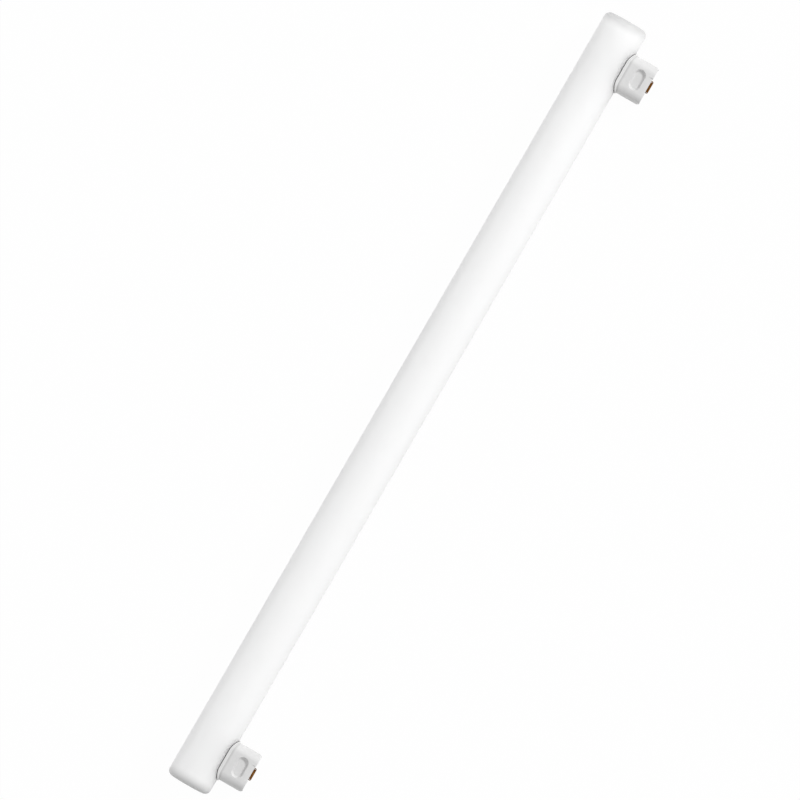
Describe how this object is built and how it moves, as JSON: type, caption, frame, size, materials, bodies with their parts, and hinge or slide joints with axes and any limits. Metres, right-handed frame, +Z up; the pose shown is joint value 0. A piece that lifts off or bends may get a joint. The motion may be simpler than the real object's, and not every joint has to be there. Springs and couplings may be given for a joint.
{
  "type": "linear tubular lamp",
  "caption": "Linear tubular lamp: a sealed opal tube with moulded side caps that have latch recesses and brass end contacts.",
  "frame": {"origin": "on the surface that the lamp lies on, under the middle of its bounding box", "axes": "+X along the tube, towards the end whose cap is set further in; -Y is the side that the caps point to, level but for a slight droop; +Z up"},
  "size_m": [0.5, 0.0431, 0.0267],
  "materials": {
    "opal_glass": "smooth opal white",
    "cap_plastic": "satin moulded, light grey",
    "contact_brass": "rolled, slightly dull",
    "cap_cement": "matt, dark grey",
    "lead_metal": "drawn wire"
  },
  "bodies": {
    "root": {"tube": "opal_glass", "cap_housing_right": "cap_plastic", "cap_housing_left": "cap_plastic", "contact_right": "contact_brass", "contact_left": "contact_brass", "cement_right": "cap_cement", "cement_left": "cap_cement", "lead_wire_right": "lead_metal", "lead_wire_left": "lead_metal"}
  },
  "joints": []
}
